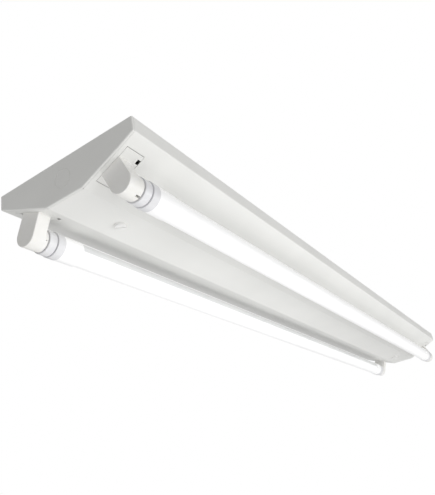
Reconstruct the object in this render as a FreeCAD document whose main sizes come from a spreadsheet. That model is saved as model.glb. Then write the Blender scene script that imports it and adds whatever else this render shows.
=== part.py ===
import FreeCAD, Part
import math
import os

import Sketcher

# A shop light of the two-tube kind that hangs under a ceiling: a folded steel body
# with a shallow wedge section, an end plate at each end and two tubes that lie
# along its slopes between turning lampholders.
# +X runs along the light, +Z is up, and the origin is the middle of the flat top.

DIMENSIONS = [
    # folded body
    ("overall_length", 1260.0),
    ("overall_width", 194.0),
    ("lip_height", 18.0),
    ("facet_width", 19.6),
    ("facet_rise", 9.2),
    ("ridge_width", 51.0),
    ("slope_angle", 22.8),
    ("sheet", 0.8),
    ("bend_radius", 2.2),
    ("sheet_gap", 0.3),
    # back plate
    ("back_flange_height", 12.0),
    ("back_bend_radius", 1.5),
    ("wiring_hole_radius", 11.1),
    ("wiring_hole_offset", 150.0),
    ("hanging_slot_inset", 50.0),
    ("hanging_slot_spacing", 76.0),
    ("hanging_slot_length", 14.0),
    ("hanging_slot_radius", 3.2),
    ("screw_hole_spacing", 610.0),
    ("screw_hole_radius", 3.25),
    # end plates
    ("end_flange_width", 2.4),
    ("end_edge_radius", 1.6),
    ("top_edge_radius", 0.6),
    ("corner_relief", 1.4),
    ("knockout_radius", 11.1),
    ("knockout_depth", 24.6),
    ("knockout_groove", 0.6),
    ("top_tab_length", 16.0),
    ("top_tab_width", 26.0),
    ("top_tab_spacing", 120.0),
    # lampholder tabs on the end plates
    ("tab_start", 8.3),
    ("tab_step", 1.6),
    ("tab_reach", 33.7),
    ("tab_inner", 21.0),
    ("tab_outer", 26.0),
    ("tab_slot_width", 5.5),
    ("tab_slot_length", 5.5),
    ("tab_slot_offset", 18.0),
    ("front_slot_overhang", 1.4),
    ("tab_gap", 0.5),
    # lampholders
    ("lamp_inset", 21.5),
    ("lamp_height", 26.0),
    ("holder_back", 8.0),
    ("holder_stem", 16.4),
    ("holder_head", 4.8),
    ("holder_radius", 13.3),
    ("holder_edge_radius", 0.9),
    ("holder_face_radius", 0.5),
    ("holder_floor", 6.0),
    ("foot_start", 12.0),
    ("foot_length", 10.0),
    ("foot_width", 14.0),
    ("foot_depth", 3.4),
    ("hook_reach", 1.4),
    ("part_gap", 0.15),
    ("probe_radius", 0.9),
    ("probe_depth", 2.0),
    # turning rotor and contacts
    ("rotor_radius", 8.0),
    ("running_gap", 0.05),
    ("rotor_setback", 0.2),
    ("slot_clearance", 0.1),
    ("contact_thickness", 0.6),
    ("contact_width", 5.0),
    ("contact_length", 5.6),
    # tubes and their end caps
    ("pin_radius", 1.2),
    ("pin_pitch", 12.7),
    ("pin_length", 7.1),
    ("pin_root", 4.0),
    ("cap_seat", 1.2),
    ("cap_radius", 14.5),
    ("cap_length", 10.4),
    ("cap_floor", 3.0),
    ("cap_edge_radius", 0.6),
    ("spigot_radius", 12.0),
    ("spigot_wall", 2.0),
    ("spigot_length", 5.8),
    ("cap_groove", 1.3),
    ("collar_radius", 15.3),
    ("collar_length", 10.6),
    ("collar_floor", 6.4),
    ("skirt_radius", 14.9),
    ("skirt_length", 27.5),
    ("tube_radius", 14.0),
    ("diffuser_wall", 1.0),
    ("heat_sink_drop", 4.0),
    ("heat_sink_wall", 1.2),
    ("board_width", 12.0),
    ("board_thickness", 1.0),
    ("board_inset", 8.0),
    ("led_length", 3.5),
    ("led_width", 2.8),
    ("led_height", 0.7),
    ("led_pitch", 23.5),
    ("driver_length", 62.0),
    ("driver_width", 9.0),
    ("driver_height", 2.6),
    ("driver_inset", 20.0),
    # cover knobs and their brackets
    ("knob_inset", 84.5),
    ("knob_radius", 7.0),
    ("knob_height", 3.4),
    ("knob_edge_radius", 1.2),
    ("knob_slot_width", 1.8),
    ("knob_slot_depth", 1.4),
    ("knob_slot_angle", 50.0),
    ("shank_radius", 2.8),
    ("cross_bar_length", 10.0),
    ("cross_bar_width", 2.8),
    ("cross_bar_height", 2.4),
    ("bracket_length", 22.0),
    ("bracket_width", 42.0),
    ("bracket_foot", 14.0),
    ("bracket_sheet", 1.2),
    ("bracket_gap", 3.0),
    # rivets, terminal block and wires
    ("rivet_radius", 1.6),
    ("rivet_head_radius", 3.2),
    ("rivet_head_height", 0.9),
    ("block_length", 20.0),
    ("block_width", 30.0),
    ("block_height", 14.0),
    ("block_pole_spacing", 10.0),
    ("block_screw_radius", 2.0),
    ("block_screw_height", 1.0),
    ("wire_radius", 1.1),
    ("wire_drop", 7.0),
    ("wire_lane", 46.0),
    ("wire_bend", 9.0),
    ("ground_screw_distance", 42.0),
    ("ground_screw_radius", 3.4),
    ("ground_screw_height", 2.4),
]

document = FreeCAD.newDocument("shop_light")
sheet = document.addObject("Spreadsheet::Sheet", "sizes")
for row, (alias, number) in enumerate(DIMENSIONS, 1):
    sheet.set(f"A{row}", alias)
    sheet.set(f"B{row}", str(number))
    sheet.setAlias(f"B{row}", alias)
document.recompute()


class Size:
    """A number together with the sheet formula that gives it."""

    def __init__(self, value, formula):
        self.value = float(value)
        self.formula = formula

    def __add__(self, other):
        other = as_size(other)
        return Size(self.value + other.value, f"({self.formula} + {other.formula})")

    def __sub__(self, other):
        other = as_size(other)
        return Size(self.value - other.value, f"({self.formula} - {other.formula})")

    def __mul__(self, other):
        other = as_size(other)
        return Size(self.value * other.value, f"({self.formula} * {other.formula})")

    def __truediv__(self, other):
        other = as_size(other)
        return Size(self.value / other.value, f"({self.formula} / {other.formula})")

    def __neg__(self):
        return Size(-self.value, f"(0 - {self.formula})")


def as_size(number):
    return number if isinstance(number, Size) else Size(number, repr(float(number)))


def size(alias):
    return Size(sheet.get(alias), f"sizes.{alias}")


def sine(angle):
    return Size(math.sin(math.radians(angle.value)), f"sin({angle.formula})")


def cosine(angle):
    return Size(math.cos(math.radians(angle.value)), f"cos({angle.formula})")


ZERO = as_size(0)
WELD = as_size(0.4)  # how far features of one piece run into each other
Vector = FreeCAD.Vector
Placement = FreeCAD.Placement
Rotation = FreeCAD.Rotation
X_AXIS = Vector(1, 0, 0)
Z_AXIS = Vector(0, 0, 1)
parts = []


# ---------------------------------------------------------------- helpers


def keep(item, placement=None):
    """Marks an object as a finished sub-part, and puts it in its place."""
    if placement is not None:
        item.Placement = placement
    parts.append(item)
    return item


def bind(item, **sizes):
    """Ties the properties of an object to sheet formulas."""
    for name, length in sizes.items():
        setattr(item, name, length.value)
        item.setExpression(name, length.formula)
    return item


def new_body(label):
    body = document.addObject("PartDesign::Body", label)
    body.Label = label
    return body


def new_sketch(body, name, plane, shift=ZERO):
    """An empty sketch on a plane of the body, moved along the plane's normal."""
    sketch = body.newObject("Sketcher::SketchObject", name)
    role = f"{plane}_Plane"
    planes = [p for p in body.Origin.OriginFeatures if p.Role == role]
    sketch.AttachmentSupport = (planes[0], [""])
    sketch.MapMode = "FlatFace"
    sketch.AttachmentOffset = Placement(Vector(0, 0, shift.value), Rotation())
    sketch.setExpression("AttachmentOffset.Base.z", shift.formula)
    return sketch


def pin_point(sketch, line, end, point):
    """Fixes one end of a sketch line at a pair of sizes."""
    for kind, axis, length in (("DistanceX", -2, point[0]), ("DistanceY", -1, point[1])):
        if length.value == 0:
            sketch.addConstraint(Sketcher.Constraint("PointOnObject", line, end, axis))
            continue
        index = sketch.addConstraint(
            Sketcher.Constraint(kind, -1, 1, line, end, length.value)
        )
        sketch.setExpression(f"Constraints[{index}]", length.formula)


def add_polygon(sketch, points):
    """A closed run of straight lines through the points."""
    first = sketch.GeometryCount
    corners = [Vector(a.value, b.value, 0) for a, b in points]
    count = len(corners)
    for i in range(count):
        sketch.addGeometry(Part.LineSegment(corners[i], corners[(i + 1) % count]), False)
    for i in range(count):
        follower = first + (i + 1) % count
        sketch.addConstraint(Sketcher.Constraint("Coincident", first + i, 2, follower, 1))
    for i, point in enumerate(points):
        pin_point(sketch, first + i, 1, point)
    return sketch


def rectangle(low, high):
    return [low, (high[0], low[1]), high, (low[0], high[1])]


def add_circle(sketch, centre, radius):
    middle = Vector(centre[0].value, centre[1].value, 0)
    index = sketch.addGeometry(Part.Circle(middle, Z_AXIS, radius.value), False)
    pin_point(sketch, index, 3, centre)
    rule = sketch.addConstraint(Sketcher.Constraint("Radius", index, radius.value))
    sketch.setExpression(f"Constraints[{rule}]", radius.formula)
    return sketch


def add_slot(sketch, centre, length, radius):
    """An oblong with round ends, along the sketch's first axis."""
    reach = length / 2 - radius
    left = (centre[0] - reach, centre[1])
    right = (centre[0] + reach, centre[1])
    a, b = (Vector(p[0].value, p[1].value, 0) for p in (left, right))
    up = Vector(0, radius.value, 0)
    half = math.pi / 2
    start = Part.ArcOfCircle(Part.Circle(a, Z_AXIS, radius.value), half, 3 * half)
    end = Part.ArcOfCircle(Part.Circle(b, Z_AXIS, radius.value), -half, half)
    first = sketch.GeometryCount
    sketch.addGeometry([start, Part.LineSegment(a - up, b - up)], False)
    sketch.addGeometry([end, Part.LineSegment(b + up, a + up)], False)
    for one, one_end, two, two_end in ((0, 2, 1, 1), (1, 2, 2, 1), (2, 2, 3, 1), (3, 2, 0, 1)):
        join = Sketcher.Constraint("Tangent", first + one, one_end, first + two, two_end)
        sketch.addConstraint(join)
    pin_point(sketch, first, 3, left)
    pin_point(sketch, first + 2, 3, right)
    rule = sketch.addConstraint(Sketcher.Constraint("Radius", first, radius.value))
    sketch.setExpression(f"Constraints[{rule}]", radius.formula)
    return sketch


def pad(body, sketch, length):
    feature = body.newObject("PartDesign::Pad", f"{sketch.Name}_pad")
    feature.Profile = sketch
    bind(feature, Length=length)
    sketch.Visibility = False
    document.recompute()
    return feature


def pocket(body, sketch, length, along_normal=True):
    """Cuts along the sketch's normal, or against it, and checks that it cut."""
    before = body.Shape.Volume
    feature = body.newObject("PartDesign::Pocket", f"{sketch.Name}_pocket")
    feature.Profile = sketch
    feature.Reversed = along_normal
    bind(feature, Length=length)
    document.recompute()
    if body.Shape.Volume >= before:
        raise ValueError(f"{feature.Name} cuts nothing")
    return feature


def edges_where(feature, test):
    return [f"Edge{i}" for i, edge in enumerate(feature.Shape.Edges, 1) if test(edge)]


def faces_where(feature, test):
    return [f"Face{i}" for i, face in enumerate(feature.Shape.Faces, 1) if test(face)]


def fillet(body, feature, names, radius):
    rounding = body.newObject("PartDesign::Fillet", f"{feature.Name}_fillet")
    rounding.Base = (feature, names)
    bind(rounding, Radius=radius)
    document.recompute()
    return rounding


def runs_along_x(edge):
    return edge.BoundBox.YLength < 1e-6 and edge.BoundBox.ZLength < 1e-6


def lies_at_x(shape, place):
    box = shape.BoundBox
    return abs(box.XMin - place) < 1e-6 and abs(box.XMax - place) < 1e-6


def lies_at_z(shape, place):
    box = shape.BoundBox
    return abs(box.ZMin - place) < 1e-6 and abs(box.ZMax - place) < 1e-6


def revolve(body, name, profile):
    """A closed profile of (place along X, radius) pairs, turned about the X axis."""
    sketch = add_polygon(new_sketch(body, name, "XZ"), profile)
    feature = body.newObject("PartDesign::Revolution", f"{name}_turn")
    feature.Profile = sketch
    feature.ReferenceAxis = (sketch, ["H_Axis"])
    feature.Angle = 360.0
    document.recompute()
    return feature


def box(label, low, high):
    """A block from its low corner to its high corner, both given as sizes."""
    item = document.addObject("Part::Box", label)
    bind(item, Length=high[0] - low[0], Width=high[1] - low[1], Height=high[2] - low[2])
    for axis, length in zip("xyz", low):
        item.setExpression(f"Placement.Base.{axis}", length.formula)
    document.recompute()
    return item


def cylinder(label, radius, length, start, turn=None):
    """A cylinder from its start, along Z or turned to another direction."""
    item = document.addObject("Part::Cylinder", label)
    bind(item, Radius=radius, Height=length)
    base = Vector(*(s.value for s in start))
    item.Placement = Placement(base, turn or Rotation())
    for axis, place in zip("xyz", start):
        item.setExpression(f"Placement.Base.{axis}", place.formula)
    document.recompute()
    return item


def cut(label, base, tool):
    item = document.addObject("Part::Cut", label)
    item.Base = base
    item.Tool = tool
    document.recompute()
    return item


def common(label, base, tool):
    item = document.addObject("Part::Common", label)
    item.Base = base
    item.Tool = tool
    document.recompute()
    return item


def group(label, members):
    """Like pieces kept as separate solids in one sub-part."""
    item = document.addObject("Part::Compound", label)
    item.Links = members
    document.recompute()
    return item


ALONG_X = Rotation(Vector(0, 1, 0), 90)

# ---------------------------------------------------------------- the section

half_length = size("overall_length") / 2
half_width = size("overall_width") / 2
half_ridge = size("ridge_width") / 2
thickness = size("sheet")
gap = size("sheet_gap")
angle = size("slope_angle")
crease_place = half_width - size("facet_width")
crease_depth = size("lip_height") + size("facet_rise")
slope_run = crease_place - half_ridge
overall_depth = crease_depth + slope_run * sine(angle) / cosine(angle)
lamp_foot = slope_run / cosine(angle) - size("lamp_inset")


def section():
    """The light's outer section, from the top of one lip round to the other."""
    right = [
        (half_ridge, -overall_depth),
        (crease_place, -crease_depth),
        (half_width, -size("lip_height")),
        (half_width, ZERO),
    ]
    left = [(-y, z) for y, z in reversed(right)]
    return left + right


def on_outer_rim(edge, ends, open_ends):
    """Whether a top edge lies on the outside of the shell, at a side or a closed end."""
    middle = edge.valueAt((edge.FirstParameter + edge.LastParameter) / 2)
    inner_side = half_width.value - thickness.value / 2
    closed = [ends[i] for i in (0, 1) if i not in open_ends]
    at_closed_end = any(abs(middle.x - end) < thickness.value / 2 for end in closed)
    along_y = edge.BoundBox.YLength > 1
    return (abs(middle.y) > inner_side and runs_along_x(edge)) or (at_closed_end and along_y)


def folded_shell(body, name, shift, length, open_ends):
    """The section drawn out along X, with round bends, as a shell of one sheet."""
    block = pad(body, add_polygon(new_sketch(body, name, "YZ", shift), section()), length)
    bends = edges_where(block, lambda e: runs_along_x(e) and e.BoundBox.ZMax < -1)
    shape = fillet(body, block, bends, size("bend_radius"))
    ends = [shift.value, shift.value + length.value]
    if len(open_ends) == 1:
        front = edges_where(
            shape, lambda e: lies_at_x(e, ends[0]) and not lies_at_z(e, 0)
        )
        shape = fillet(body, shape, front, size("end_edge_radius"))
    gone = faces_where(
        shape,
        lambda f: lies_at_z(f, 0) or any(lies_at_x(f, ends[i]) for i in open_ends),
    )
    shell = body.newObject("PartDesign::Thickness", f"{name}_shell")
    shell.Base = (shape, gone)
    shell.Reversed = True
    bind(shell, Value=thickness)
    document.recompute()
    rim = edges_where(shell, lambda e: lies_at_z(e, 0) and on_outer_rim(e, ends, open_ends))
    return fillet(body, shell, rim, size("top_edge_radius"))


# ---------------------------------------------------------------- frames

END_TURN = {"near": Rotation(), "far": Rotation(Z_AXIS, 180)}
SIDE = {"1": 1, "2": -1}


def end_frame(end):
    """Origin on the end plate's outer face at the top, X pointing inwards."""
    sign = {"near": -1, "far": 1}[end]
    return Placement(Vector(sign * half_length.value, 0, 0), END_TURN[end])


def foot_frame(lamp, end):
    """Origin on the slope under a lamp's axis, X inwards and Z away from the slope."""
    side = SIDE[lamp] if end == "near" else -SIDE[lamp]
    along = lamp_foot.value
    lean = angle.value
    y = half_ridge.value + along * math.cos(math.radians(lean))
    z = along * math.sin(math.radians(lean)) - overall_depth.value
    lay = Placement(Vector(0, side * y, z), Rotation(X_AXIS, 180 + side * lean))
    return end_frame(end).multiply(lay)


def lamp_frame(lamp):
    """Origin at the middle of a lamp's axis, Z in the direction of its light."""
    foot = foot_frame(lamp, "near")
    lift = Placement(Vector(half_length.value, 0, size("lamp_height").value), Rotation())
    return foot.multiply(lift)


def at_lamp_height(lamp, end):
    lift = Placement(Vector(0, 0, size("lamp_height").value), Rotation())
    return foot_frame(lamp, end).multiply(lift)


LAMP_ENDS = [(lamp, end) for lamp in ("1", "2") for end in ("near", "far")]

# ---------------------------------------------------------------- folded cover

cover_start = size("end_flange_width") + gap
tab_low = lamp_foot - size("tab_inner")
tab_high = lamp_foot + size("tab_outer")
through = thickness * 3


def slope_point(side, along, height):
    """A point of the section, along the slope from the ridge and out from it."""
    y = half_ridge + along * cosine(angle) + height * sine(angle)
    z = along * sine(angle) - overall_depth - height * cosine(angle)
    return (y * side, z)


def slope_strip(side, start, end, low, high):
    """A strip of the section that follows one slope."""
    corners = ((start, low), (end, low), (end, high), (start, high))
    return [slope_point(side, along, height) for along, height in corners]


cover = new_body("reflector_cover")
cover_length = size("overall_length") - cover_start * 2
folded_shell(cover, "cover_section", cover_start - half_length, cover_length, [0, 1])
window_start = size("tab_start") - size("tab_gap")
window_end = size("tab_reach") + size("tab_gap")
for end, start in (("near", window_start - half_length), ("far", half_length - window_end)):
    for side in (1, -1):
        low = tab_low - size("tab_gap")
        high = tab_high + size("tab_gap")
        strip = slope_strip(side, low, high, -through, through)
        sketch = new_sketch(cover, f"tab_window_{end}_{side + 1}", "YZ", start)
        pocket(cover, add_polygon(sketch, strip), window_end - window_start)
knob_places = (size("knob_inset") - half_length, half_length - size("knob_inset"))
turning_gap = size("part_gap") * 2
knob_holes = new_sketch(cover, "knob_holes", "XY", -overall_depth - thickness)
for place in knob_places:
    add_circle(knob_holes, (place, ZERO), size("shank_radius") + turning_gap)
pocket(cover, knob_holes, through)
keep(cover)

# ---------------------------------------------------------------- back plate

back = new_body("back_plate")
back_end = half_length - thickness - gap
back_side = half_width - thickness - gap
flange_bottom = -size("back_flange_height")
channel = [
    (-back_side, flange_bottom),
    (-back_side, ZERO),
    (back_side, ZERO),
    (back_side, flange_bottom),
    (back_side - thickness, flange_bottom),
    (back_side - thickness, -thickness),
    (thickness - back_side, -thickness),
    (thickness - back_side, flange_bottom),
]
channel_sketch = add_polygon(new_sketch(back, "back_section", "YZ", -back_end), channel)
plate = pad(back, channel_sketch, back_end * 2)
top_edges = edges_where(plate, lambda e: runs_along_x(e) and lies_at_z(e, 0))
fillet(back, plate, top_edges, size("back_bend_radius"))
hanging_place = half_length - size("hanging_slot_inset")
tab_rivet_place = half_length - thickness - size("top_tab_length") / 2
bracket_rivet_place = size("bracket_width") / 2 + size("bracket_foot") / 2
rivet_spots = []
for x in (-tab_rivet_place, tab_rivet_place):
    for y in (-size("top_tab_spacing") / 2, size("top_tab_spacing") / 2):
        rivet_spots.append((x, y, thickness))
for x in knob_places:
    for y in (-bracket_rivet_place, bracket_rivet_place):
        rivet_spots.append((x, y, size("bracket_sheet")))
rivet_hole = size("rivet_radius") + size("part_gap")
holes = new_sketch(back, "top_holes", "XY", -thickness * 2)
for x in (-hanging_place, hanging_place):
    for y in (-size("hanging_slot_spacing") / 2, size("hanging_slot_spacing") / 2):
        add_slot(holes, (x, y), size("hanging_slot_length"), size("hanging_slot_radius"))
for x in (-size("screw_hole_spacing") / 2, size("screw_hole_spacing") / 2):
    add_circle(holes, (x, ZERO), size("screw_hole_radius"))
add_circle(holes, (size("wiring_hole_offset"), ZERO), size("wiring_hole_radius"))
for x, y, _ in rivet_spots:
    add_circle(holes, (x, y), rivet_hole)
pocket(back, holes, through)
keep(back)

# ---------------------------------------------------------------- end plates

foot_gap = size("part_gap")
tab_top = ZERO
tab_under = -thickness
tongue_top = tab_under - gap
tongue_under = tongue_top - thickness
front_slot_start = size("tab_reach") + size("front_slot_overhang") - size("tab_slot_width")


def slope_block(body, name, side, reach, heights, places):
    """A plate along a slope, between two distances from the end plate's face."""
    strip = slope_strip(side, *reach, *heights)
    sketch = new_sketch(body, name, "YZ", places[0])
    pad(body, add_polygon(sketch, strip), places[1] - places[0])


def slope_hole(body, name, side, middle, length, places):
    """A square hole through a tab, its middle given along the slope."""
    half = length / 2
    strip = slope_strip(side, middle - half, middle + half, -through, through)
    sketch = new_sketch(body, name, "YZ", places[0])
    pocket(body, add_polygon(sketch, strip), places[1] - places[0])


def lampholder_tab(body, end, side):
    """A joggled tab: it leaves the plate under the cover and rises flush into a window."""
    name = f"{end}_{side + 1}"
    reach = (tab_low, tab_high)
    step_end = size("tab_start") + size("tab_step")
    tongue = (thickness / 2, step_end)
    step = (size("tab_start"), step_end)
    plate = (size("tab_start"), size("tab_reach"))
    slope_block(body, f"tongue_{name}", side, reach, (tongue_under, tongue_top), tongue)
    slope_block(body, f"step_{name}", side, reach, (tongue_under, tab_top), step)
    slope_block(body, f"tab_{name}", side, reach, (tab_under, tab_top), plate)
    foot_window = (
        size("foot_start") - foot_gap,
        size("foot_start") + size("foot_length") + foot_gap,
    )
    foot_room = size("foot_width") + foot_gap * 2
    slope_hole(body, f"foot_window_{name}", side, lamp_foot, foot_room, foot_window)
    inwards = lamp_foot - size("tab_slot_offset")
    outwards = lamp_foot + size("tab_slot_offset")
    front_slot = (front_slot_start, size("tab_reach") + WELD)
    middle = inwards if side > 0 else outwards
    length = size("tab_slot_length")
    slope_hole(body, f"front_slot_{name}", side, middle, length, front_slot)
    if side > 0:
        back_slot = (step_end, step_end + size("tab_slot_width"))
        slope_hole(body, f"back_slot_{name}", side, outwards, length, back_slot)


for end in ("near", "far"):
    body = new_body(f"end_plate_{end}")
    folded_shell(body, f"end_{end}", ZERO, size("end_flange_width"), [1])
    for side in (1, -1):
        relief = new_sketch(body, f"relief_{end}_{side + 1}", "XY", -overall_depth - thickness)
        low = half_ridge * side - size("corner_relief") / 2
        notch = rectangle(
            (size("end_edge_radius"), low),
            (size("end_flange_width") + WELD, low + size("corner_relief")),
        )
        pocket(body, add_polygon(relief, notch), through)
        lampholder_tab(body, end, side)
    for side in (1, -1):
        middle = size("top_tab_spacing") / 2 * side
        half = size("top_tab_width") / 2
        top = -thickness - size("running_gap")
        strip = rectangle((middle - half, top - thickness), (middle + half, top))
        tab = new_sketch(body, f"top_tab_{end}_{side + 1}", "YZ", thickness / 2)
        pad(body, add_polygon(tab, strip), size("top_tab_length") + thickness / 2)
    below_tabs = -thickness * 4
    rivets = new_sketch(body, f"tab_rivet_holes_{end}", "XY", below_tabs)
    for side in (1, -1):
        spot = (thickness + size("top_tab_length") / 2, size("top_tab_spacing") / 2 * side)
        add_circle(rivets, spot, rivet_hole)
    pocket(body, rivets, -below_tabs)
    ring = new_sketch(body, f"knockout_{end}", "YZ")
    centre = (ZERO, -size("knockout_depth"))
    add_circle(ring, centre, size("knockout_radius"))
    add_circle(ring, centre, size("knockout_radius") - size("knockout_groove"))
    pocket(body, ring, thickness / 2)
    keep(body, end_frame(end))

# ---------------------------------------------------------------- lampholders

head_front = size("holder_back") + size("holder_stem") + size("holder_head")
cavity_radius = size("rotor_radius") + size("running_gap")
cavity_start = size("holder_back") + size("holder_floor")
pin_tip = head_front + size("cap_seat") - size("pin_length")
axis_height = size("lamp_height")
entry_half = size("pin_radius") + size("slot_clearance") * 2
contact_low = cavity_radius + size("slot_clearance")
contact_high = contact_low + size("contact_thickness")
contact_half = size("contact_width") / 2
contact_start = pin_tip - size("slot_clearance") * 2


def tombstone(sketch):
    """The lampholder's outline: straight sides with a half-round head."""
    radius = size("holder_radius")
    left = Vector(-radius.value, 0, 0)
    right = Vector(radius.value, 0, 0)
    lift = Vector(0, axis_height.value, 0)
    circle = Part.Circle(lift, Z_AXIS, radius.value)
    sketch.addGeometry(Part.LineSegment(left, right), False)
    sketch.addGeometry(Part.LineSegment(right, right + lift), False)
    sketch.addGeometry(Part.ArcOfCircle(circle, 0, math.pi), False)
    sketch.addGeometry(Part.LineSegment(left + lift, left), False)
    sketch.addConstraint(Sketcher.Constraint("Coincident", 0, 2, 1, 1))
    sketch.addConstraint(Sketcher.Constraint("Tangent", 1, 2, 2, 1))
    sketch.addConstraint(Sketcher.Constraint("Tangent", 2, 2, 3, 1))
    sketch.addConstraint(Sketcher.Constraint("Coincident", 3, 2, 0, 1))
    pin_point(sketch, 0, 1, (-radius, ZERO))
    pin_point(sketch, 0, 2, (radius, ZERO))
    pin_point(sketch, 2, 3, (ZERO, axis_height))
    return sketch


for lamp, end in LAMP_ENDS:
    name = f"{lamp}_{end}"
    body = new_body(f"lampholder_{name}")
    outline = tombstone(new_sketch(body, f"holder_{name}", "YZ", size("holder_back")))
    stem = pad(body, outline, size("holder_stem"))
    head = new_sketch(body, f"head_{name}", "YZ", head_front - size("holder_head") - WELD)
    add_circle(head, (ZERO, axis_height), size("holder_radius"))
    solid = pad(body, head, size("holder_head") + WELD)
    back_edges = edges_where(solid, lambda e: lies_at_x(e, size("holder_back").value)
                             and e.BoundBox.ZMax > 1)
    solid = fillet(body, solid, back_edges, size("holder_edge_radius"))
    front_edges = edges_where(solid, lambda e: lies_at_x(e, head_front.value))
    fillet(body, solid, front_edges, size("holder_face_radius"))
    half = size("foot_width") / 2
    foot = new_sketch(body, f"foot_{name}", "YZ", size("foot_start"))
    foot_block = rectangle((-half, -size("foot_depth")), (half, WELD))
    pad(body, add_polygon(foot, foot_block), size("foot_length"))
    hook = new_sketch(body, f"hook_{name}", "YZ", size("foot_start"))
    hook_top = -thickness - foot_gap
    wide = half + size("hook_reach")
    hook_block = rectangle((-wide, -size("foot_depth")), (wide, hook_top))
    pad(body, add_polygon(hook, hook_block), size("foot_length"))
    bore = new_sketch(body, f"rotor_bore_{name}", "YZ", cavity_start)
    add_circle(bore, (ZERO, axis_height), cavity_radius)
    pocket(body, bore, head_front - cavity_start + WELD)
    entry = new_sketch(body, f"entry_{name}", "YZ", contact_start)
    top = axis_height + size("holder_radius") + WELD
    add_polygon(entry, rectangle((-entry_half, axis_height), (entry_half, top)))
    pocket(body, entry, head_front - contact_start + WELD)
    for side in (1, -1):
        seat = new_sketch(body, f"contact_seat_{name}_{side + 1}", "YZ", contact_start)
        seat_half = contact_half + size("slot_clearance")
        low = (cavity_radius - WELD) * side
        high = (contact_high + size("slot_clearance")) * side
        low_y, high_y = (low, high) if side > 0 else (high, low)
        corners = rectangle((low_y, axis_height - seat_half), (high_y, axis_height + seat_half))
        pocket(body, add_polygon(seat, corners), size("contact_length") + WELD)
        probe = new_sketch(body, f"probe_{name}_{side + 1}", "XZ", -size("holder_radius") * side)
        place = head_front - size("holder_head") / 2
        add_circle(probe, (place, axis_height), size("probe_radius"))
        pocket(body, probe, size("probe_depth"), side > 0)
    keep(body, foot_frame(lamp, end))

    leaves = []
    for side in (1, -1):
        low = contact_low if side > 0 else -contact_high
        leaves.append(box(
            f"contact_{name}_{side + 1}",
            (contact_start + size("slot_clearance"), low, -contact_half),
            (contact_start + size("contact_length"), low + size("contact_thickness"), contact_half),
        ))
    keep(group(f"contacts_{name}", leaves), at_lamp_height(lamp, end))

# ---------------------------------------------------------------- rotors

rotor_start = cavity_start + size("running_gap") * 2
rotor_front = head_front - size("rotor_setback")
slot_half = size("pin_radius") + size("slot_clearance")
for lamp, end in LAMP_ENDS:
    name = f"{lamp}_{end}"
    body = new_body(f"rotor_{name}")
    disc = new_sketch(body, f"disc_{name}", "YZ", rotor_start)
    pad(body, add_circle(disc, (ZERO, ZERO), size("rotor_radius")), rotor_front - rotor_start)
    slot = new_sketch(body, f"pin_slot_{name}", "YZ", pin_tip - size("slot_clearance"))
    reach = size("rotor_radius") + WELD
    add_polygon(slot, rectangle((-reach, -slot_half), (reach, slot_half)))
    pocket(body, slot, size("pin_length") + WELD)
    keep(body, at_lamp_height(lamp, end))

# ---------------------------------------------------------------- tube ends

cap_face = head_front + size("cap_seat")
cap_back = cap_face + size("cap_length")
spigot_end = cap_back + size("spigot_length")
collar_face = cap_back + size("cap_groove")
collar_back = collar_face + size("collar_length")
tube_start = collar_face + size("collar_floor")
skirt_end = collar_back + size("skirt_length")
tube_bore = size("tube_radius") + size("running_gap")
collar_bore = size("spigot_radius") + size("running_gap")
pin_hole = size("pin_radius") + size("running_gap") / 2

for lamp, end in LAMP_ENDS:
    name = f"{lamp}_{end}"
    cap = new_body(f"pin_cap_{name}")
    hollow = size("spigot_radius") - size("spigot_wall")
    floor = cap_face + size("cap_floor")
    solid = revolve(cap, f"cap_{name}", [
        (cap_face, ZERO),
        (cap_face, size("cap_radius")),
        (cap_back, size("cap_radius")),
        (cap_back, size("spigot_radius")),
        (spigot_end, size("spigot_radius")),
        (spigot_end, hollow),
        (floor, hollow),
        (floor, ZERO),
    ])
    rims = edges_where(solid, lambda e: e.BoundBox.ZMax > size("cap_radius").value - 1e-3
                       and not runs_along_x(e) and e.BoundBox.XLength < 1e-6)
    fillet(cap, solid, rims, size("cap_edge_radius"))
    bores = new_sketch(cap, f"pin_holes_{name}", "YZ", cap_face - WELD)
    for side in (1, -1):
        add_circle(bores, (size("pin_pitch") / 2 * side, ZERO), pin_hole)
    pocket(cap, bores, size("cap_floor") + WELD * 2)
    keep(cap, at_lamp_height(lamp, end))

    pins = []
    for side in (1, -1):
        pins.append(cylinder(
            f"pin_{name}_{side + 1}", size("pin_radius"),
            size("pin_length") + size("pin_root"),
            (pin_tip, size("pin_pitch") / 2 * side, ZERO), ALONG_X,
        ))
    keep(group(f"pins_{name}", pins), at_lamp_height(lamp, end))

    collar = new_body(f"end_collar_{name}")
    solid = revolve(collar, f"collar_{name}", [
        (collar_face, collar_bore),
        (collar_face, size("collar_radius")),
        (collar_back, size("collar_radius")),
        (collar_back, size("skirt_radius")),
        (skirt_end, size("skirt_radius")),
        (skirt_end, tube_bore),
        (tube_start, tube_bore),
        (tube_start, collar_bore),
    ])
    rims = edges_where(solid, lambda e: lies_at_x(e, collar_face.value)
                       and e.BoundBox.ZMax > size("collar_radius").value - 1e-3)
    fillet(collar, solid, rims, size("cap_edge_radius"))
    keep(collar, at_lamp_height(lamp, end))

# ---------------------------------------------------------------- tubes

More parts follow.
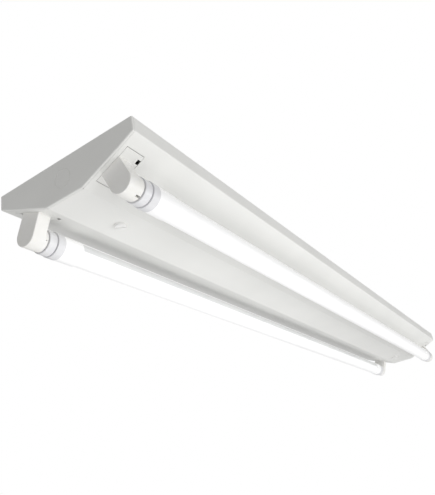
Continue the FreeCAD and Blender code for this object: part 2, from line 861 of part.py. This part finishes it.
tube_half = half_length - tube_start - size("sheet_gap")
tube_radius = size("tube_radius")
split = -size("heat_sink_drop")
board_half = tube_half - size("board_inset")
led_count = int((board_half.value * 2 - size("led_pitch").value) // size("led_pitch").value)
for lamp in ("1", "2"):
    start = (-tube_half, ZERO, ZERO)
    outer = cylinder(f"tube_outer_{lamp}", tube_radius, tube_half * 2, start, ALONG_X)
    inner_radius = tube_radius - size("diffuser_wall")
    inner = cylinder(f"tube_inner_{lamp}", inner_radius, tube_half * 2, start, ALONG_X)
    pipe = cut(f"tube_pipe_{lamp}", outer, inner)
    lit_side = box(
        f"lit_side_{lamp}",
        (-tube_half, -tube_radius, split + size("running_gap")),
        (tube_half, tube_radius, tube_radius),
    )
    keep(common(f"tube_diffuser_{lamp}", pipe, lit_side), lamp_frame(lamp))

    rod = cylinder(f"sink_rod_{lamp}", tube_radius, tube_half * 2, start, ALONG_X)
    dark_side = box(
        f"dark_side_{lamp}",
        (-tube_half, -tube_radius, -tube_radius),
        (tube_half, tube_radius, split),
    )
    segment = common(f"sink_segment_{lamp}", rod, dark_side)
    hollow_radius = tube_radius - size("heat_sink_wall")
    hollow = cylinder(f"sink_hollow_{lamp}", hollow_radius, tube_half * 2, start, ALONG_X)
    hollow_side = box(
        f"hollow_side_{lamp}",
        (-tube_half, -tube_radius, -tube_radius),
        (tube_half, tube_radius, split - size("heat_sink_wall")),
    )
    core = common(f"sink_core_{lamp}", hollow, hollow_side)
    keep(cut(f"heat_sink_{lamp}", segment, core), lamp_frame(lamp))

    half_board = size("board_width") / 2
    board_top = split + size("board_thickness")
    board = box(
        f"board_strip_{lamp}",
        (-board_half, -half_board, split),
        (board_half, half_board, board_top),
    )
    keep(group(f"led_board_{lamp}", [board]), lamp_frame(lamp))

    leds = []
    for i in range(led_count):
        x = size("led_pitch") * (i - (led_count - 1) / 2)
        half_led = size("led_length") / 2
        wide = size("led_width") / 2
        leds.append(box(
            f"led_{lamp}_{i}",
            (x - half_led, -wide, board_top),
            (x + half_led, wide, board_top + size("led_height")),
        ))
    keep(group(f"leds_{lamp}", leds), lamp_frame(lamp))

    wide = size("driver_width") / 2
    driver_top = split - size("heat_sink_wall") - size("running_gap")
    driver_start = -tube_half + size("driver_inset")
    driver = box(
        f"driver_blank_{lamp}",
        (driver_start, -wide, driver_top - size("driver_height")),
        (driver_start + size("driver_length"), wide, driver_top),
    )
    keep(group(f"tube_driver_{lamp}", [driver]), lamp_frame(lamp))

# ---------------------------------------------------------------- knobs and brackets

web_top = overall_depth - thickness - size("bracket_gap")


def turned_point(point, turn):
    a, b = point
    return a * cosine(turn) - b * sine(turn), a * sine(turn) + b * cosine(turn)


for end, place in zip(("near", "far"), knob_places):
    body = new_body(f"cover_knob_{end}")
    head = new_sketch(body, f"knob_head_{end}", "XY", ZERO)
    knob_height = size("knob_height")
    disc = pad(body, add_circle(head, (ZERO, ZERO), size("knob_radius")), knob_height)
    rim = edges_where(disc, lambda e: lies_at_z(e, knob_height.value))
    fillet(body, disc, rim, size("knob_edge_radius"))
    half = size("knob_slot_width") / 2
    reach = size("knob_radius") + WELD
    coin_slot = new_sketch(body, f"coin_slot_{end}", "XY", knob_height - size("knob_slot_depth"))
    corners = rectangle((-reach, -half), (reach, half))
    add_polygon(coin_slot, [turned_point(corner, size("knob_slot_angle")) for corner in corners])
    pocket(body, coin_slot, size("knob_slot_depth") + WELD)
    shank = new_sketch(body, f"shank_{end}", "XY", WELD)
    web_room = size("bracket_gap") + thickness + size("bracket_sheet")
    shank_length = web_room + size("running_gap") * 4 + size("cross_bar_height")
    add_circle(shank, (ZERO, ZERO), size("shank_radius"))
    shaft = pad(body, shank, shank_length + WELD)
    shaft.Reversed = True
    document.recompute()
    cross = new_sketch(body, f"cross_bar_{end}", "XY", -shank_length)
    half_bar = size("cross_bar_length") / 2
    half_wide = size("cross_bar_width") / 2
    add_polygon(cross, rectangle((-half_bar, -half_wide), (half_bar, half_wide)))
    pad(body, cross, size("cross_bar_height"))
    drop = overall_depth + size("running_gap")
    turned = Rotation(X_AXIS, 180)
    keep(body, Placement(Vector(place.value, 0, -drop.value), turned))

    bracket = new_body(f"cover_bracket_{end}")
    plate_thickness = size("bracket_sheet")
    half = size("bracket_width") / 2
    foot = half + size("bracket_foot")
    low = -web_top
    top = -thickness
    hat = [
        (-foot, top),
        (-half, top),
        (-half, low + plate_thickness),
        (half, low + plate_thickness),
        (half, top),
        (foot, top),
        (foot, top - plate_thickness),
        (half + plate_thickness, top - plate_thickness),
        (half + plate_thickness, low),
        (-half - plate_thickness, low),
        (-half - plate_thickness, top - plate_thickness),
        (-foot, top - plate_thickness),
    ]
    hat_start = place - size("bracket_length") / 2
    hat_sketch = new_sketch(bracket, f"hat_{end}", "YZ", hat_start)
    pad(bracket, add_polygon(hat_sketch, hat), size("bracket_length"))
    slot = new_sketch(bracket, f"bracket_slot_{end}", "XY", low - plate_thickness)
    half_bar = size("cross_bar_length") / 2 + turning_gap
    half_wide = size("cross_bar_width") / 2 + turning_gap
    add_polygon(slot, rectangle((place - half_wide, -half_bar), (place + half_wide, half_bar)))
    through_bracket = plate_thickness * 3
    pocket(bracket, slot, through_bracket)
    eye = new_sketch(bracket, f"bracket_eye_{end}", "XY", low - plate_thickness)
    add_circle(eye, (place, ZERO), size("shank_radius") + turning_gap)
    pocket(bracket, eye, through_bracket)
    below_feet = top - plate_thickness * 2
    feet_holes = new_sketch(bracket, f"bracket_holes_{end}", "XY", below_feet)
    for side in (1, -1):
        add_circle(feet_holes, (place, bracket_rivet_place * side), rivet_hole)
    pocket(bracket, feet_holes, top - below_feet)
    keep(bracket)

# ---------------------------------------------------------------- rivets

rivets = []
for i, (x, y, under) in enumerate(rivet_spots):
    sheets = thickness + under + size("running_gap")
    shank = cylinder(f"rivet_shank_{i}", size("rivet_radius"), sheets, (x, y, -sheets))
    head_place = -sheets - size("rivet_head_height")
    head = cylinder(
        f"rivet_head_{i}", size("rivet_head_radius"), size("rivet_head_height"),
        (x, y, head_place),
    )
    rivet = document.addObject("Part::Fuse", f"rivet_{i}")
    rivet.Base = head
    rivet.Tool = shank
    document.recompute()
    rivets.append(rivet)
keep(group("rivets", rivets))

# ---------------------------------------------------------------- terminal block

block = new_body("terminal_block")
block_half = size("block_length") / 2
block_side = size("block_width") / 2
block_sketch = new_sketch(block, "block_face", "XY", -thickness - size("block_height"))
add_polygon(block_sketch, rectangle((-block_half, -block_side), (block_half, block_side)))
solid = pad(block, block_sketch, size("block_height"))
poles = [size("block_pole_spacing") * i for i in (-1, 0, 1)]
wire_level = -thickness - size("wire_drop")
wire_bore = size("wire_radius") + size("part_gap")
wire_stop = block_half / 2
for i, sign in enumerate((-1, 1)):
    ports = new_sketch(block, f"wire_ports_{i}", "YZ", (block_half + WELD) * sign)
    for pole in poles:
        add_circle(ports, (pole, wire_level), wire_bore)
    pocket(block, ports, block_half - wire_stop + WELD, sign < 0)
keep(block)

block_screws = []
block_face = -thickness - size("block_height")
screw_length = size("block_screw_height")
for i, pole in enumerate(poles):
    for j, sign in enumerate((-1, 1)):
        spot = (block_half / 2 * sign, pole, block_face - screw_length)
        screw = cylinder(f"block_screw_{i}_{j}", size("block_screw_radius"), screw_length, spot)
        block_screws.append(screw)
keep(group("terminal_screws", block_screws))

# ---------------------------------------------------------------- wires


def wire_solid(points, radius, bend):
    """A round wire along straight runs, with an arc of the bend radius at each turn."""
    edges = []
    start = points[0]
    for i in range(1, len(points) - 1):
        before = (points[i - 1] - points[i]).normalize()
        after = (points[i + 1] - points[i]).normalize()
        turn = math.pi - before.getAngle(after)
        back_off = bend * math.tan(turn / 2)
        enter = points[i] + before * back_off
        leave = points[i] + after * back_off
        inward = (before + after).normalize()
        centre = points[i] + inward * (bend / math.cos(turn / 2))
        middle = centre - inward * bend
        edges.append(Part.LineSegment(start, enter).toShape())
        edges.append(Part.Arc(enter, middle, leave).toShape())
        start = leave
    edges.append(Part.LineSegment(start, points[-1]).toShape())
    path = Part.Wire(edges)
    circle = Part.makeCircle(radius, points[0], points[1] - points[0])
    solid = path.makePipeShell([Part.Wire([circle])], True, False)
    print(f"wire of {path.Length:.0f} mm, volume ratio "
          f"{solid.Volume / (math.pi * radius ** 2 * path.Length):.3f}")
    return solid


def wire_piece(label, routes):
    item = document.addObject("Part::Feature", label)
    solids = [wire_solid(r, size("wire_radius").value, size("wire_bend").value) for r in routes]
    item.Shape = Part.makeCompound(solids)
    keep(item)


def lead_route(pole, lamp, end):
    """From the terminal block along the back plate to the foot of a lampholder."""
    sign = -1 if end == "near" else 1
    lane = size("wire_lane").value * SIDE[lamp]
    level = wire_level.value
    foot_middle = (size("foot_start") + size("foot_length") / 2).value
    foot = Vector(foot_middle, 0, -size("foot_depth").value)
    above = Vector(foot_middle, 0, -size("foot_depth").value - size("wire_bend").value)
    frame = foot_frame(lamp, end)
    arrive = frame.multVec(foot)
    rise = frame.multVec(above)
    first = block_half.value + size("wire_bend").value * 2
    lead = Vector(sign * wire_stop.value, pole, level)
    out = Vector(sign * first, pole, level)
    spread = Vector(sign * (first + abs(lane - pole)), lane, level)
    turn_in = Vector(rise.x - sign * size("wire_bend").value * 3, lane, level)
    return [lead, out, spread, turn_in, rise, arrive]


outer_pole = size("block_pole_spacing").value
live = [lead_route(outer_pole * SIDE[lamp], lamp, "near") for lamp in ("1", "2")]
neutral = [lead_route(outer_pole * SIDE[lamp], lamp, "far") for lamp in ("1", "2")]
wire_piece("live_wires", live)
wire_piece("neutral_wires", neutral)

ground_x = -(block_half + size("ground_screw_distance"))
ground_top = -thickness
ground_start = Vector(-wire_stop.value, 0, wire_level.value)
ground_eye = Vector(ground_x.value + size("ground_screw_radius").value, 0, wire_level.value)
wire_piece("ground_wire", [[ground_start, ground_eye]])
screw_bottom = wire_level - size("wire_radius") - size("running_gap")
screw_head = cylinder(
    "ground_screw_head", size("ground_screw_radius"), size("ground_screw_height"),
    (ground_x, ZERO, wire_level - size("ground_screw_height") / 2),
)
screw_shank = cylinder(
    "ground_screw_shank", size("ground_screw_radius") / 2, ground_top - wire_level,
    (ground_x, ZERO, wire_level),
)
ground_screw = document.addObject("Part::Fuse", "ground_screw")
ground_screw.Base = screw_head
ground_screw.Tool = screw_shank
document.recompute()
keep(ground_screw)

# ---------------------------------------------------------------- checks and files

document.recompute()
for item in document.Objects:
    if "Invalid" in item.State or "Error" in item.State:
        raise ValueError(f"{item.Label} did not compute")
os.makedirs("parts", exist_ok=True)
for item in parts:
    if item.Shape.isNull() or not item.Shape.isValid():
        raise ValueError(f"{item.Label} has no sound shape")
for item in parts:
    item.Shape.exportStep(os.path.join("parts", f"{item.Label}.step"))
print(f"{len(parts)} sub-parts written")
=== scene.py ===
import bmesh
import bpy
from mathutils import Matrix, Vector


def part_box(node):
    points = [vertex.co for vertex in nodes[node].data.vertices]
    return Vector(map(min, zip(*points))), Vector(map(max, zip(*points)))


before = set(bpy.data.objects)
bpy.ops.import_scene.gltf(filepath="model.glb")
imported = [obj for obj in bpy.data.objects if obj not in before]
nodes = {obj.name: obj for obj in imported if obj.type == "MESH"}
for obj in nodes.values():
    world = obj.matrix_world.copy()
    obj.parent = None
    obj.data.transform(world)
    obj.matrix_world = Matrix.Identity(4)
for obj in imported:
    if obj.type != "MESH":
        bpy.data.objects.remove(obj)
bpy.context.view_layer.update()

# ---------------------------------------------------------------- folded steel body
# Cold-rolled steel sheet, folded on a press brake and finished in baked white enamel.
# The cover, back plate and end plates share one finish: a soft gloss with a faint
# orange-peel skin.
MM = 0.001
DRIFT_FROM = 0.35
DRIFT_TO = 0.65
DRIFT_DETAIL = 3.0
SKIN_DETAIL = 2.0


def srgb(code):
    """The linear colour of an sRGB hex code such as EFEFEC."""
    parts = [int(code[i:i + 2], 16) / 255 for i in (0, 2, 4)]
    linear = [c / 12.92 if c <= 0.04045 else ((c + 0.055) / 1.055) ** 2.4 for c in parts]
    return (*linear, 1.0)


def add_node(tree, kind, links=(), **settings):
    """Adds a shader node, sets its sockets and properties, and links sockets into it."""
    node = tree.nodes.new(kind)
    for name, value in settings.items():
        if name in node.inputs:
            node.inputs[name].default_value = value
        else:
            setattr(node, name, value)
    for socket, source in links:
        tree.links.new(source, node.inputs[socket])
    return node


def new_material(name):
    """An empty node material with its output, shader and object coordinates."""
    material = bpy.data.materials.new(name)
    material.use_nodes = True
    tree = material.node_tree
    tree.nodes.clear()
    output = add_node(tree, "ShaderNodeOutputMaterial")
    shader = add_node(tree, "ShaderNodeBsdfPrincipled")
    tree.links.new(shader.outputs["BSDF"], output.inputs["Surface"])
    place = add_node(tree, "ShaderNodeTexCoord")
    return material, tree, shader, place.outputs["Object"]


def set_sockets(shader, values):
    """Sets the shader's own sockets, for what is the same all over the surface."""
    for name, value in values.items():
        shader.inputs[name].default_value = value


def cycles_per_metre(millimetres):
    """A noise scale whose features are that size across."""
    return 1.0 / (millimetres * MM)


def colour_drift(tree, shader, place, first, second, millimetres):
    """A slow drift between two near colours, as a coat that isn't quite even has."""
    noise = add_node(tree, "ShaderNodeTexNoise", [("Vector", place)],
                     Scale=cycles_per_metre(millimetres), Detail=DRIFT_DETAIL)
    ramp = add_node(tree, "ShaderNodeValToRGB", [("Fac", noise.outputs["Fac"])])
    low, high = ramp.color_ramp.elements
    low.position = DRIFT_FROM
    low.color = srgb(first)
    high.position = DRIFT_TO
    high.color = srgb(second)
    tree.links.new(ramp.outputs["Color"], shader.inputs["Base Color"])
    return ramp.outputs["Color"]


def skin_bump(tree, shader, place, millimetres, height, strength):
    """A fine uneven skin, its height in millimetres."""
    noise = add_node(tree, "ShaderNodeTexNoise", [("Vector", place)],
                     Scale=cycles_per_metre(millimetres), Detail=SKIN_DETAIL)
    bump = add_node(tree, "ShaderNodeBump", [("Height", noise.outputs["Fac"])],
                    Strength=strength, Distance=height * MM)
    tree.links.new(bump.outputs["Normal"], shader.inputs["Normal"])


def finish_nodes(material, *names):
    """Gives the carried-over CAD nodes whose names start so their material."""
    for name, piece in nodes.items():
        if name.startswith(names):
            piece.data.materials.clear()
            piece.data.materials.append(material)


enamel, tree, shader, place = new_material("baked_white_enamel")
colour_drift(tree, shader, place, "EDEDEA", "F2F2EF", millimetres=140)
skin_bump(tree, shader, place, millimetres=1.8, height=0.02, strength=0.35)
set_sockets(shader, {
    "Roughness": 0.46,
    "IOR": 1.5,
    "Specular IOR Level": 0.4,
    "Coat Weight": 0.08,
    "Coat Roughness": 0.3,
})
finish_nodes(enamel, "reflector_cover", "back_plate", "end_plate")

# ---------------------------------------------------------------- lampholders
# Tombstone lampholders and their rotors, injection moulded in warm white
# polycarbonate with a satin tool finish and a trace of translucence.
POLYCARBONATE_IOR = 1.58

holder, tree, shader, place = new_material("moulded_polycarbonate_warm_white")
colour_drift(tree, shader, place, "F6F5F1", "F9F8F5", millimetres=25)
skin_bump(tree, shader, place, millimetres=0.5, height=0.01, strength=0.3)
set_sockets(shader, {
    "Roughness": 0.42,
    "IOR": POLYCARBONATE_IOR,
    "Subsurface Weight": 0.08,
    "Subsurface Radius": (4.0 * MM, 4.0 * MM, 3.5 * MM),
})
finish_nodes(holder, "lampholder", "rotor")

# ---------------------------------------------------------------- tube ends
# Pin rings and end collars, moulded in a cooler white than the lampholders. A
# collar's thin skirt runs back over the lit tube. The light coming through it is
# painted on, as a near-white colour and a faint glow, so it shows almost as white as the
# tube.
COOL_WHITE = ("E7E7E9", "ECECEE")
COOL_WHITE_ROUGHNESS = 0.36
RING_LENGTH_MM = 10.6
# Strength of the painted glow on each collar skirt, which stands in for tube light shining
# through it.
PAINTED_SKIRT_GLOW = 0.16
RING_EDGE = abs(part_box("end_collar_1_near")[0][0] + RING_LENGTH_MM * MM)

caps, tree, shader, place = new_material("moulded_polycarbonate_cool_white")
colour_drift(tree, shader, place, *COOL_WHITE, millimetres=20)
skin_bump(tree, shader, place, millimetres=0.5, height=0.01, strength=0.3)
set_sockets(shader, {
    "Roughness": COOL_WHITE_ROUGHNESS,
    "IOR": POLYCARBONATE_IOR,
    "Subsurface Weight": 0.08,
    "Subsurface Radius": (4.0 * MM, 4.0 * MM, 4.5 * MM),
})
finish_nodes(caps, "pin_cap")

# The sockets of a Mix node share their names among its kinds, so those for colours
# go by number.
MIX_FIRST = 6
MIX_SECOND = 7
MIX_RESULT = 2

collar, tree, shader, place = new_material("moulded_polycarbonate_skirt_painted_glow")
drift = colour_drift(tree, shader, place, *COOL_WHITE, millimetres=20)
skin_bump(tree, shader, place, millimetres=0.5, height=0.01, strength=0.3)
set_sockets(shader, {"Roughness": COOL_WHITE_ROUGHNESS, "IOR": POLYCARBONATE_IOR})
# Painted light: on the skirt the colour turns near white and the surface glows faintly. This
# stands in for tube light coming through the skirt.
split = add_node(tree, "ShaderNodeSeparateXYZ", [("Vector", place)])
along = add_node(tree, "ShaderNodeMath", [(0, split.outputs["X"])], operation="ABSOLUTE")
skirt = add_node(tree, "ShaderNodeMath", [(0, along.outputs["Value"])], operation="LESS_THAN")
skirt.inputs[1].default_value = RING_EDGE
painted_skirt_colour = add_node(tree, "ShaderNodeMix", [
    ("Factor", skirt.outputs["Value"]),
    (MIX_FIRST, drift),
], data_type="RGBA")
painted_skirt_colour.inputs[MIX_SECOND].default_value = srgb("F6F6F6")
tree.links.new(painted_skirt_colour.outputs[MIX_RESULT], shader.inputs["Base Color"])
glow = add_node(tree, "ShaderNodeMath", [(0, skirt.outputs["Value"])], operation="MULTIPLY")
glow.inputs[1].default_value = PAINTED_SKIRT_GLOW
shader.inputs["Emission Color"].default_value = srgb("FFFFFF")
tree.links.new(glow.outputs["Value"], shader.inputs["Emission Strength"])
finish_nodes(collar, "end_collar")

# ---------------------------------------------------------------- lit tubes
# Extruded frosted polycarbonate over the lit board. Lit, it shows as an even,
# pure white with no visible rows of chips.
TUBE_GLOW = 0.14

diffuser, tree, shader, place = new_material("frosted_polycarbonate_lit")
colour_drift(tree, shader, place, "FAFAFA", "FDFDFD", millimetres=60)
skin_bump(tree, shader, place, millimetres=0.4, height=0.008, strength=0.2)
set_sockets(shader, {
    "Roughness": 0.45,
    "IOR": POLYCARBONATE_IOR,
    "Emission Color": srgb("FFFFFF"),
    "Emission Strength": TUBE_GLOW,
})
finish_nodes(diffuser, "tube_diffuser")

# ---------------------------------------------------------------- tube backs
# Extruded aluminium painted pale grey, the opaque back of each tube. The die leaves
# faint lines along it, which show through the paint.
DIE_LINE_STRETCH = (0.004, 1.0, 1.0)

backs, tree, shader, place = new_material("painted_extruded_aluminium")
colour_drift(tree, shader, place, "E9EAEB", "EEEFEF", millimetres=80)
stretch = add_node(tree, "ShaderNodeMapping", [("Vector", place)], Scale=DIE_LINE_STRETCH)
drawn = stretch.outputs["Vector"]
skin_bump(tree, shader, drawn, millimetres=0.6, height=0.02, strength=0.4)
set_sockets(shader, {"Roughness": 0.4})
finish_nodes(backs, "heat_sink")

# ---------------------------------------------------------------- cover knobs
# Small quarter-turn knobs moulded in bright white nylon, with a satin look, and
# slotted for a coin. Each has a cross bar on its shank, which passes its bracket.
nylon, tree, shader, place = new_material("moulded_nylon_white")
colour_drift(tree, shader, place, "F2F2F0", "F5F5F3", millimetres=10)
skin_bump(tree, shader, place, millimetres=0.4, height=0.01, strength=0.3)
set_sockets(shader, {"Roughness": 0.4, "IOR": 1.53})
finish_nodes(nylon, "cover_knob")

# ---------------------------------------------------------------- metal inside
# Bright zinc plate on the brackets, rivets and terminal screws, a cool and slightly
# blurred mirror, and drawn brass for the pins and contacts, a warm and clearer one.
zinc, tree, shader, place = new_material("bright_zinc_plated_steel")
colour_drift(tree, shader, place, "B9BBBE", "C6C8CA", millimetres=8)
skin_bump(tree, shader, place, millimetres=0.3, height=0.01, strength=0.3)
set_sockets(shader, {"Metallic": 1.0, "Roughness": 0.32})
finish_nodes(zinc, "cover_bracket", "rivets", "terminal_screws")

brass, tree, shader, place = new_material("drawn_brass")
colour_drift(tree, shader, place, "C9A24E", "D4B064", millimetres=6)
skin_bump(tree, shader, place, millimetres=0.2, height=0.006, strength=0.3)
set_sockets(shader, {"Metallic": 1.0, "Roughness": 0.28})
finish_nodes(brass, "pins_", "contacts_")

# ---------------------------------------------------------------- boards and wires
# White solder mask on the light board, phosphor-yellow chips, a dark coated driver,
# an off-white terminal block, PVC-covered leads and a green passivated screw.
GRAINS_PER_DRIFT = 20


def coated_surface(name, first, second, roughness, grain):
    """A plain coated or moulded surface with a soft gloss, its grain in millimetres."""
    material, tree, shader, place = new_material(name)
    colour_drift(tree, shader, place, first, second, grain * GRAINS_PER_DRIFT)
    skin_bump(tree, shader, place, grain, height=0.01, strength=0.3)
    set_sockets(shader, {"Roughness": roughness})
    return material


for nodes_named, name, first, second, roughness, grain in (
    ("led_board", "white_solder_mask", "EDEEED", "F3F4F3", 0.35, 0.3),
    ("leds_", "phosphor_silicone", "EAD873", "F2E28C", 0.3, 0.2),
    ("tube_driver", "coated_fibreglass_board", "1E3A2A", "27462F", 0.4, 0.4),
    ("terminal_block", "polyamide_off_white", "DDDDD3", "E4E4DB", 0.45, 0.5),
    ("live_wires", "pvc_black", "151515", "1D1D1D", 0.35, 0.4),
    ("neutral_wires", "pvc_white", "E2E2DD", "E9E9E5", 0.35, 0.4),
    ("ground_wire", "pvc_green", "1C6B33", "237A3C", 0.35, 0.4),
    ("ground_screw", "green_passivated_steel", "2C6A3C", "35784A", 0.3, 0.3),
):
    finish_nodes(coated_surface(name, first, second, roughness, grain), nodes_named)

# ---------------------------------------------------------------- camera
# About half a metre off the near end, below it and to one side, looking up along
# the light.
CAMERA_PLACE = Vector((-0.9731, -0.3470, -0.3674))
CAMERA_LOOK = Vector((0.790, 0.424, 0.443))
CAMERA_UP = Vector((-0.293, -0.374, 0.880))
LENS_MM = 40.16
SENSOR_MM = 36.0
NEAREST_SEEN = 10.0 * MM

camera_data = bpy.data.cameras.new("camera")
camera_data.lens = LENS_MM
camera_data.sensor_width = SENSOR_MM
camera_data.clip_start = NEAREST_SEEN
camera = bpy.data.objects.new("camera", camera_data)
bpy.context.scene.collection.objects.link(camera)
look = CAMERA_LOOK.normalized()
up = (CAMERA_UP - look * CAMERA_UP.dot(look)).normalized()
side = look.cross(up)
turn = Matrix((side, up, -look)).transposed()
camera.matrix_world = Matrix.Translation(CAMERA_PLACE) @ turn.to_4x4()
bpy.context.scene.camera = camera

# ---------------------------------------------------------------- studio
# A pale floor well under the light, a white surround, a broad soft lamp from the low
# right, and a small weak one close under the near half of the ridge.
FLOOR_DROP = 0.95
FLOOR_SIZE = 9.0
FLOOR_GLOW = 0.37
WHITE = srgb("FFFFFF")

# The surround's strength as light on the object, in its gloss, and as it is seen.
SURROUND = 0.33
SHINE = 0.25
SEEN_WHITE = 1.0

floor_mesh = bmesh.new()
bmesh.ops.create_grid(floor_mesh, x_segments=1, y_segments=1, size=FLOOR_SIZE)
bmesh.ops.translate(floor_mesh, verts=floor_mesh.verts, vec=(0, 0, -FLOOR_DROP))
floor_data = bpy.data.meshes.new("floor")
floor_mesh.to_mesh(floor_data)
floor_mesh.free()
floor = bpy.data.objects.new("floor", floor_data)
bpy.context.scene.collection.objects.link(floor)
paint, tree, shader, place = new_material("matt_white_floor_paint")
colour_drift(tree, shader, place, "F4F4F4", "F6F6F6", millimetres=900)
set_sockets(shader, {
    "Roughness": 0.8,
    "Emission Color": WHITE,
    "Emission Strength": FLOOR_GLOW,
})
floor_data.materials.append(paint)

world = bpy.data.worlds.new("studio")
bpy.context.scene.world = world
world.use_nodes = True
tree = world.node_tree
tree.nodes.clear()
path = add_node(tree, "ShaderNodeLightPath")
soft = add_node(tree, "ShaderNodeBackground", Color=WHITE, Strength=SURROUND)
shine = add_node(tree, "ShaderNodeBackground", Color=WHITE, Strength=SHINE)
white = add_node(tree, "ShaderNodeBackground", Color=WHITE, Strength=SEEN_WHITE)
glossy = add_node(tree, "ShaderNodeMixShader", [
    ("Fac", path.outputs["Is Glossy Ray"]),
    (1, soft.outputs["Background"]),
    (2, shine.outputs["Background"]),
])
seen = add_node(tree, "ShaderNodeMath", [
    (0, path.outputs["Is Camera Ray"]),
    (1, path.outputs["Is Transmission Ray"]),
], operation="MAXIMUM")
mix = add_node(tree, "ShaderNodeMixShader", [
    ("Fac", seen.outputs["Value"]),
    (1, glossy.outputs["Shader"]),
    (2, white.outputs["Background"]),
])
add_node(tree, "ShaderNodeOutputWorld", [("Surface", mix.outputs["Shader"])])


def area_lamp(name, place, target, width, height, power):
    """A soft lamp, its size in metres and its power in watts, aimed at a point."""
    data = bpy.data.lights.new(name, "AREA")
    data.shape = "RECTANGLE"
    data.size = width
    data.size_y = height
    data.energy = power
    lamp = bpy.data.objects.new(name, data)
    aim = (Vector(target) - Vector(place)).to_track_quat("-Z", "Y")
    lamp.matrix_world = Matrix.Translation(place) @ aim.to_matrix().to_4x4()
    bpy.context.scene.collection.objects.link(lamp)


area_lamp("key", place=(0.1, -1.5, -0.75), target=(0, 0, 0),
          width=2.6, height=0.9, power=16.5)
area_lamp("under", place=(-0.36, -0.03, -0.5), target=(-0.36, 0, 0),
          width=0.4, height=0.3, power=0.3)

bpy.context.scene.view_settings.view_transform = "Standard"
